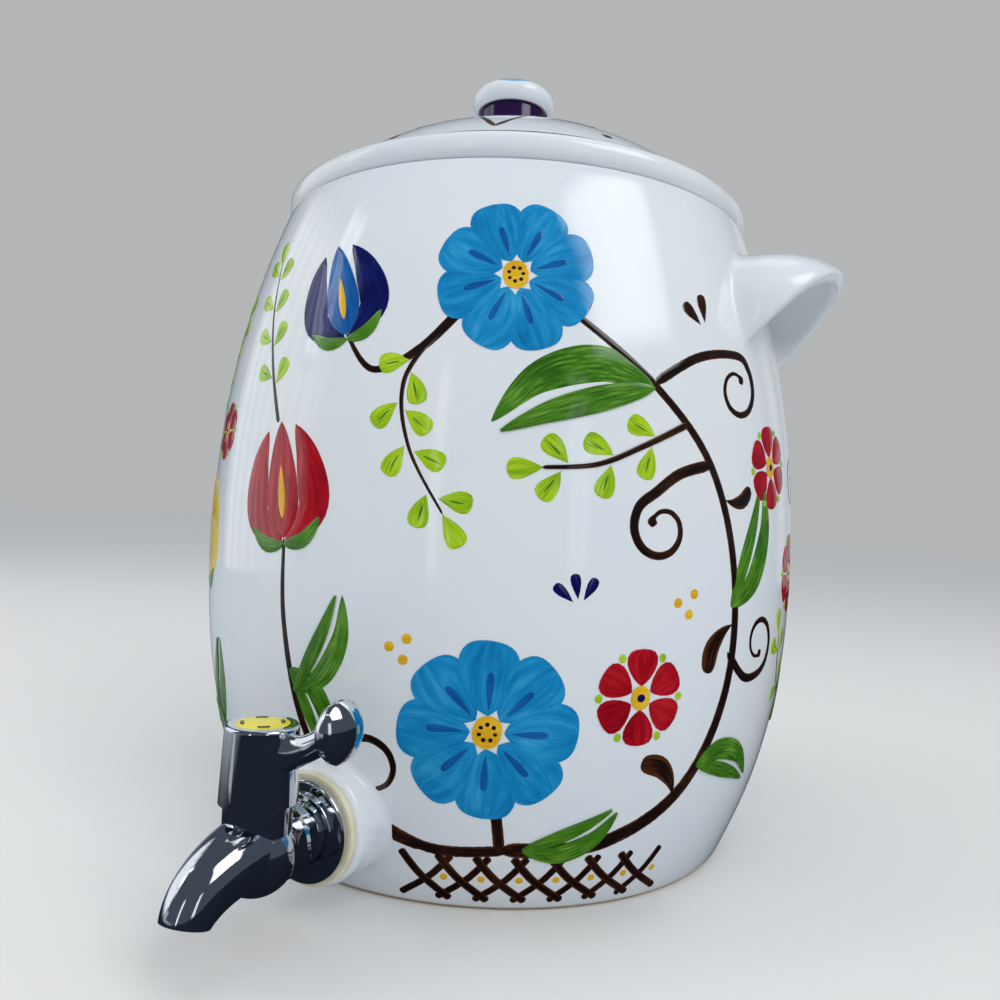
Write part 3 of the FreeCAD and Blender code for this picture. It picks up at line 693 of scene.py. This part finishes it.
def noiseOn(material, scale, detail=4.0, stretch=(1, 1, 1), fromUv=False):
    place = addNode(material, "ShaderNodeTexCoord")
    mapping = addNode(material, "ShaderNodeMapping")
    mapping.inputs["Scale"].default_value = stretch
    noise = addNode(material, "ShaderNodeTexNoise", Scale=scale, Detail=detail)
    link(material, place, "UV" if fromUv else "Object", mapping, "Vector")
    link(material, mapping, "Vector", noise, "Vector")
    return noise


def ramp(material, source, output, stops):
    node = addNode(material, "ShaderNodeValToRGB")
    while len(node.color_ramp.elements) < len(stops):
        node.color_ramp.elements.new(0.5)
    for element, (spot, colour) in zip(node.color_ramp.elements, stops):
        element.position = spot
        element.color = (*colour, 1)
    link(material, source, output, node, "Fac")
    return node


def bump(material, height, output, strength, distance, before=None):
    node = addNode(material, "ShaderNodeBump", Strength=strength, Distance=distance)
    link(material, height, output, node, "Height")
    if before:
        link(material, before, "Normal", node, "Normal")
    return node


def shaderOf(material):
    return material.node_tree.nodes["Principled BSDF"]


def feed(material, source, socket):
    material.node_tree.links.new(source, shaderOf(material).inputs[socket])


def mapRange(material, source, output, start, end, low=0, high=1):
    node = addNode(material, "ShaderNodeMapRange")
    for socket, value in (("From Min", start), ("From Max", end), ("To Min", low), ("To Max", high)):
        node.inputs[socket].default_value = value
    link(material, source, output, node, "Value")
    return node


def mathNode(material, operation, *values):  # each value is a number, or a node and its output
    node = addNode(material, "ShaderNodeMath", operation=operation)
    for i, value in enumerate(values):
        if isinstance(value, tuple):
            link(material, *value, node, i)
        else:
            node.inputs[i].default_value = value
    return node, "Value"


def axes(material, output):  # a texture coordinate's X, Y and Z
    place = addNode(material, "ShaderNodeTexCoord")
    parts = addNode(material, "ShaderNodeSeparateXYZ")
    link(material, place, output, parts, "Vector")
    return parts


def mixColours(tree, share, first, second):  # each is a socket or a fixed colour
    mix = tree.nodes.new("ShaderNodeMix")
    mix.data_type = "RGBA"
    tree.links.new(share, mix.inputs[0])
    for i, colour in ((6, first), (7, second)):
        if isinstance(colour, tuple):
            mix.inputs[i].default_value = (*colour, 1)
        else:
            tree.links.new(colour, mix.inputs[i])
    return mix.outputs[2]


def roughen(material, *layers):  # each is a noise's scale, detail and stretch, strength and depth
    before = None
    for scale, detail, stretch, strength, depth in layers:
        noise = noiseOn(material, scale, detail, stretch)
        before = bump(material, noise, "Fac", strength, depth * mm, before)
    feed(material, before.outputs["Normal"], "Normal")


glaze = {
    "white": (0.70, 0.755, 0.81),
    "cream": (0.735, 0.77, 0.785),
    "mottle": 16,
    "roughness": 0.07,
    "waves": (9, 2, (1, 1, 0.55), 0.35, 2.8),  # slow waves from the wheel and the dip
    "peel": (420, 2, (1, 1, 1), 0.05, 0.12),  # a fine orange peel
    "clayDark": (0.52, 0.40, 0.28),
    "clayLight": (0.62, 0.50, 0.37),
    "clayGrain": 900,
    "clayRoughness": 0.85,
    "clayHeight": 1.1,  # the foot's underside and edge are bare up to here
    "clayFade": 1.5,  # and glazed all over from this many times that height
}


def glazeMaterial(name, bareFoot):
    material = newMaterial(name, glaze["white"], glaze["roughness"])
    mottle = noiseOn(material, glaze["mottle"], 3)
    tones = [(0.3, glaze["cream"]), (0.62, glaze["white"])]
    colour = ramp(material, mottle, "Fac", tones).outputs["Color"]
    if bareFoot:
        top = glaze["clayHeight"] * mm
        covered = mapRange(material, axes(material, "Object"), "Z", top, top * glaze["clayFade"])
        grain = noiseOn(material, glaze["clayGrain"], 4)
        clay = ramp(material, grain, "Fac", [(0.3, glaze["clayDark"]), (0.7, glaze["clayLight"])])
        share = covered.outputs["Result"]
        colour = mixColours(material.node_tree, share, clay.outputs["Color"], colour)
        rough = mapRange(material, covered, "Result", 0, 1, glaze["clayRoughness"], glaze["roughness"])
        feed(material, rough.outputs["Result"], "Roughness")
    feed(material, colour, "Base Color")
    roughen(material, glaze["waves"], glaze["peel"])
    return material


streaky = ("leafGreen", "stemBrown", "lime", "lidBrown")
paints = {  # dark, middle and light tone of each brushed colour
    "skyBlue": ((0.004, 0.14, 0.36), (0.008, 0.23, 0.51), (0.05, 0.38, 0.66)),
    "deepBlue": ((0.003, 0.05, 0.22), (0.005, 0.09, 0.32), (0.02, 0.16, 0.44)),
    "darkRed": ((0.17, 0.001, 0.005), (0.34, 0.003, 0.011), (0.56, 0.02, 0.03)),
    "gold": ((0.54, 0.27, 0.01), (0.72, 0.42, 0.015), (0.86, 0.60, 0.06)),
    "yellow": ((0.62, 0.40, 0.008), (0.80, 0.60, 0.012), (0.90, 0.76, 0.05)),
    "navy": ((0.002, 0.002, 0.045), (0.003, 0.005, 0.085), (0.008, 0.025, 0.17)),
    "lime": ((0.18, 0.36, 0.008), (0.34, 0.55, 0.012), (0.54, 0.72, 0.06)),
    "leafGreen": ((0.022, 0.095, 0.006), (0.055, 0.19, 0.011), (0.19, 0.39, 0.055)),
    "stemBrown": ((0.006, 0.003, 0.0025), (0.010, 0.0045, 0.0035), (0.07, 0.022, 0.006)),
    "lidBrown": ((0.05, 0.025, 0.012), (0.10, 0.05, 0.022), (0.18, 0.09, 0.04)),
    "buttonMark": ((0.02, 0.015, 0.004), (0.05, 0.035, 0.008), (0.12, 0.08, 0.02)),
}


bristles = {
    "scale": 3.0,
    "along": 0.9,
    "evenAcross": 2.8,
    "evenStops": (0.18, 0.5, 0.92),
    "streakyAcross": 5.0,
    "streakyStops": (0.32, 0.52, 0.78),
    "patches": 70,
    "patchShare": 0.6,
    "thinFrom": 0.27,  # distance from the stroke's middle line, in widths of its strip
    "thinTo": 0.42,
    "thinBy": 0.55,
}


def paintMaterial(paint):
    dark, middle, light = paints[paint]
    material = newMaterial(paint, middle, glaze["roughness"])
    kind = "streaky" if paint in streaky else "even"
    stretch = (bristles[kind + "Across"], bristles["along"], 1)
    streaks = noiseOn(material, bristles["scale"], 5, stretch, fromUv=True)
    patches = noiseOn(material, bristles["patches"], 2)
    share = bristles["patchShare"]
    patchy = mathNode(material, "MULTIPLY_ADD", (patches, "Fac"), share, -share / 2)
    tone = mathNode(material, "ADD", (streaks, "Fac"), patchy)
    if paint == "stemBrown":  # the paint thins to orange brown along its edges
        offset = mathNode(material, "SUBTRACT", (axes(material, "UV"), "X"), 0.5)
        away = mathNode(material, "ABSOLUTE", offset)
        edge = mapRange(material, *away, bristles["thinFrom"], bristles["thinTo"], 0, bristles["thinBy"])
        tone = mathNode(material, "ADD", tone, (edge, "Result"))
    stops = list(zip(bristles[kind + "Stops"], (dark, middle, light)))
    feed(material, ramp(material, *tone, stops).outputs["Color"], "Base Color")
    roughen(material, glaze["waves"], glaze["peel"])
    return material


knob = {
    "purpleTop": 329.25,
    "purpleSoft": 0.3,
    "purple": (0.022, 0.006, 0.05),
    "dotRadius": 9.5,
    "dotSoft": 0.8,
    "dotPlace": (4.5, -8.9, -1.3),  # from the middle of the crown
    "dot": (0.03, 0.33, 0.62),
}


def knobMaterial():
    material = glazeMaterial("knobGlaze", False)
    tree = material.node_tree
    white = shaderOf(material).inputs["Base Color"].links[0].from_socket
    top = knob["purpleTop"]
    soft = knob["purpleSoft"]
    neck = mapRange(material, axes(material, "Object"), "Z", (top - soft) * mm, top * mm, 1, 0)
    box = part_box("lid_knob")
    middle = (box[0] + box[1]) / 2
    crown = Vector((middle.x, middle.y, box[1].z))
    place = addNode(material, "ShaderNodeTexCoord")
    away = addNode(material, "ShaderNodeVectorMath", operation="DISTANCE")
    away.inputs[1].default_value = crown + Vector(knob["dotPlace"]) * mm
    link(material, place, "Object", away, 0)
    radius = knob["dotRadius"]
    spot = mapRange(material, away, "Value", radius * mm, (radius + knob["dotSoft"]) * mm, 1, 0)
    colour = mixColours(tree, neck.outputs["Result"], white, knob["purple"])
    colour = mixColours(tree, spot.outputs["Result"], colour, knob["dot"])
    feed(material, colour, "Base Color")
    return material


tapFinish = {
    "colour": (0.72, 0.75, 0.79),
    "roughness": 0.05,
    "smears": 60,
    "smearFrom": 0.35,
    "smearTo": 0.75,
    "clean": 0.035,
    "smeared": 0.13,
    "dents": (34, 2, (1, 1, 1), 0.2, 1.0),
    "specks": (700, 3, (1, 1, 1), 0.08, 0.08),
}


def chromeMaterial():
    material = newMaterial("polishedChrome", tapFinish["colour"], tapFinish["roughness"], Metallic=1.0)
    smears = noiseOn(material, tapFinish["smears"], 5)
    rough = mapRange(material, smears, "Fac", tapFinish["smearFrom"], tapFinish["smearTo"],
                     tapFinish["clean"], tapFinish["smeared"])
    feed(material, rough.outputs["Result"], "Roughness")
    roughen(material, tapFinish["dents"], tapFinish["specks"])
    return material


fittings = {  # dark and light tone, scale of the grain, roughness, depth of the grain, metal or not
    "creamRubber": ((0.66, 0.62, 0.43), (0.78, 0.74, 0.56), 160, 0.5, 0.15, 0),
    "turnedBrass": ((0.62, 0.43, 0.16), (0.74, 0.55, 0.24), 300, 0.22, 0.1, 1),
    "whitePlastic": ((0.74, 0.74, 0.70), (0.84, 0.84, 0.81), 90, 0.4, 0.1, 0),
    "discCeramic": ((0.78, 0.78, 0.75), (0.86, 0.86, 0.84), 400, 0.25, 0.03, 0),
    "blackRubber": ((0.015, 0.015, 0.016), (0.03, 0.03, 0.03), 200, 0.55, 0.1, 0),
    "springSteel": ((0.45, 0.45, 0.45), (0.60, 0.60, 0.60), 240, 0.3, 0.1, 1),
    "yellowPlastic": ((0.70, 0.60, 0.015), (0.80, 0.71, 0.03), 120, 0.28, 0.08, 0),
}


def plainMaterial(name, dark, light, scale, roughness, depth, metallic):
    material = newMaterial(name, light, roughness, Metallic=metallic)
    noise = noiseOn(material, scale, 4)
    colour = ramp(material, noise, "Fac", [(0.3, dark), (0.7, light)])
    feed(material, colour.outputs["Color"], "Base Color")
    feed(material, bump(material, noise, "Fac", 0.25, depth * mm).outputs["Normal"], "Normal")
    return material


print("materials")
finishes = {name: plainMaterial(name, *row) for name, row in fittings.items()}
finishes["whiteGlaze"] = glazeMaterial("whiteGlaze", True)
finishes["lidGlaze"] = glazeMaterial("lidGlaze", False)
finishes["knobGlaze"] = knobMaterial()
finishes["polishedChrome"] = chromeMaterial()
madeOf = {
    "whiteGlaze": ("pot_floor", "pot_lower_wall", "pot_upper_wall", "pot_rim", *luted),
    "lidGlaze": ("lid",),
    "knobGlaze": ("lid_knob",),
    "polishedChrome": ("tap_backplate", "tap_body", "bonnet", "tap_handle"),
    "creamRubber": ("outer_washer", "inner_washer"),
    "turnedBrass": ("lock_nut", "spindle"),
    "whitePlastic": ("slip_washer",),
    "discCeramic": ("fixed_disc", "turning_disc"),
    "blackRubber": ("seat_seal", "bonnet_oring", "spindle_orings"),
    "springSteel": ("spindle_clip", "handle_screw"),
    "yellowPlastic": ("index_button",),
}


def dress(thing, material):
    thing.data.materials.clear()
    thing.data.materials.append(material)


for finish, names in madeOf.items():
    for name in names:
        dress(nodes[name], finishes[finish])
for thing in glazed:
    dress(thing, finishes["whiteGlaze"])
for paint, painting in paintings.items():
    dress(painting, paintMaterial(paint))


camera = {
    "place": (181.3, -360.7, 138.0),
    "ahead": (-0.452, 0.892, 0.017),
    "up": (-0.037, -0.038, 0.999),
    "lens": 30.6,
    "clipStart": 10.0,
}
lamps = {  # place, width and height in metres, power in watts; each faces lookAt
    "leftLamp": ((-1.10, -0.60, 0.85), 0.9, 1.0, 4.2),
    "rightLamp": ((0.95, -0.55, 1.05), 0.9, 0.8, 6.5),
    "overheadLamp": ((0.10, -0.20, 1.6), 1.4, 1.0, 4.5),
}
windows = {  # only reflections see these: place, width and height in metres, brightness, folds
    "rightWindow": ((0.82, -0.20, 0.98), 0.72, 0.70, 4.0, 1),
    "leftWindow": ((-0.83, -0.56, 0.80), 0.19, 0.54, 2.4, 2),
    "leftCurtain": ((-1.15, -0.35, 0.45), 1.3, 1.3, 1.15, 9),
    "doorway": ((0.10, -1.45, 0.40), 0.12, 1.0, 1.6, 1),
    "farLamp": ((1.25, -0.95, 0.40), 0.22, 0.9, 1.1, 2),
    "tableGlint": ((-0.13, -0.28, 0.026), 0.05, 0.05, 0.45, 1),
    "ceiling": ((0.0, 0.35, 1.7), 1.1, 0.7, 1.1, 3),
    "backWall": ((-0.2, 1.5, 0.5), 2.6, 1.3, 0.5, 4),
}
windowLight = {
    "colour": (0.93, 0.97, 1.0),
    "fullFrom": 0.36,  # full light from the middle out to here, none at 0.5, the card's edge
    "foldDepth": 0.5,
    "foldLeast": 0.6,
}
studio = {
    "floor": (0.78, 0.78, 0.775),
    "floorSize": 14,  # in metres, as are the two ends of the glare
    "floorRoughness": 0.6,
    "darkFloor": (0.014, 0.019, 0.030),  # the floor as the glaze and the chrome reflect it
    "glare": (0.50, 0.54, 0.58),
    "glareFrom": -0.12,
    "glareTo": -0.34,
    "glareStops": (0.02, 0.6),
    "grain": 14,
    "grainStretch": (0.4, 6, 1),
    "ambient": (0.57, 0.59, 0.615),
    "roomInGlaze": (0.065, 0.08, 0.105),
    "backdrop": (0.46, 0.465, 0.47),
}
lookAt = Vector((0, 0, 140)) * mm


def addCamera():
    data = bpy.data.cameras.new("photoCamera")
    data.lens = camera["lens"]
    data.clip_start = camera["clipStart"] * mm
    thing = bpy.data.objects.new("photoCamera", data)
    bpy.context.scene.collection.objects.link(thing)
    back = -Vector(camera["ahead"]).normalized()
    right = Vector(camera["up"]).cross(back).normalized()
    turn = Matrix((right, back.cross(right), back)).transposed().to_4x4()
    thing.matrix_world = Matrix.Translation(Vector(camera["place"]) * mm) @ turn
    bpy.context.scene.camera = thing


def facing(place):
    turn = (lookAt - Vector(place)).to_track_quat("-Z", "Y").to_matrix().to_4x4()
    return Matrix.Translation(Vector(place)) @ turn


def addLamp(name, place, width, height, power):
    data = bpy.data.lights.new(name, "AREA")
    data.shape = "RECTANGLE"
    data.size = width
    data.size_y = height
    data.energy = power
    thing = bpy.data.objects.new(name, data)
    bpy.context.scene.collection.objects.link(thing)
    thing.matrix_world = facing(place)
    thing.visible_glossy = False


def windowMaterial(name, brightness, folds):  # soft borders, and folds or bars across
    material = newMaterial(name, (0, 0, 0), 1.0)
    shader = shaderOf(material)
    parts = axes(material, "UV")
    edges = []
    for axis in ("X", "Y"):
        away = mathNode(material, "ABSOLUTE", mathNode(material, "SUBTRACT", (parts, axis), 0.5))
        edges.append((mapRange(material, *away, 0.5, windowLight["fullFrom"]), "Result"))
    light = mathNode(material, "MULTIPLY", *edges)
    wave = mathNode(material, "SINE", mathNode(material, "MULTIPLY", (parts, "X"), math.pi * folds))
    wave = mathNode(material, "ABSOLUTE", wave)
    wave = mathNode(material, "MULTIPLY", wave, windowLight["foldDepth"])
    wave = mathNode(material, "ADD", wave, windowLight["foldLeast"])
    light = mathNode(material, "MULTIPLY", light, wave)
    light = mathNode(material, "MULTIPLY", light, brightness)
    link(material, *light, shader, "Emission Strength")
    shader.inputs["Emission Color"].default_value = (*windowLight["colour"], 1)
    return material


def addWindow(name, place, width, height, brightness, folds):
    bpy.ops.mesh.primitive_plane_add(size=1)
    card = bpy.context.object
    card.name = name
    about = Matrix.Rotation(math.pi, 4, "Y")  # a plane shines up its Z, and a lamp down
    card.matrix_world = facing(place) @ about @ Matrix.Diagonal((width, height, 1, 1))
    dress(card, windowMaterial(name, brightness, folds))
    card.visible_camera = card.visible_diffuse = card.visible_shadow = False


def byRay(tree, ray, plain, special):  # one colour for most rays and another for this kind
    path = tree.nodes.new("ShaderNodeLightPath")
    return mixColours(tree, path.outputs[ray], plain, special)


def floorReflection(material):  # dark, with a glare towards its left side
    parts = axes(material, "Object")
    glare = mapRange(material, parts, "X", studio["glareFrom"], studio["glareTo"])
    grain = noiseOn(material, studio["grain"], 4, studio["grainStretch"])
    share = mathNode(material, "MULTIPLY", (glare, "Result"), (grain, "Fac"))
    stops = list(zip(studio["glareStops"], (studio["darkFloor"], studio["glare"])))
    return ramp(material, *share, stops).outputs["Color"]


def addFloor():
    bpy.ops.mesh.primitive_plane_add(size=studio["floorSize"])
    floor = bpy.context.object
    floor.name = "floor"
    material = newMaterial("floorPaper", studio["floor"], studio["floorRoughness"], Specular_IOR_Level=0.0)
    reflected = floorReflection(material)
    colour = byRay(material.node_tree, "Is Glossy Ray", studio["floor"], reflected)
    feed(material, colour, "Base Color")
    dress(floor, material)


def addWorld():
    world = bpy.data.worlds.new("studio")
    bpy.context.scene.world = world
    world.use_nodes = True
    tree = world.node_tree
    colour = byRay(tree, "Is Glossy Ray", studio["ambient"], studio["roomInGlaze"])
    colour = byRay(tree, "Is Camera Ray", colour, studio["backdrop"])
    tree.links.new(colour, tree.nodes["Background"].inputs["Color"])


print("camera, floor and light")
clearSelection()
addCamera()
addFloor()
addWorld()
for name, setup in lamps.items():
    addLamp(name, *setup)
for name, setup in windows.items():
    addWindow(name, *setup)
bpy.context.scene.view_settings.view_transform = "Standard"
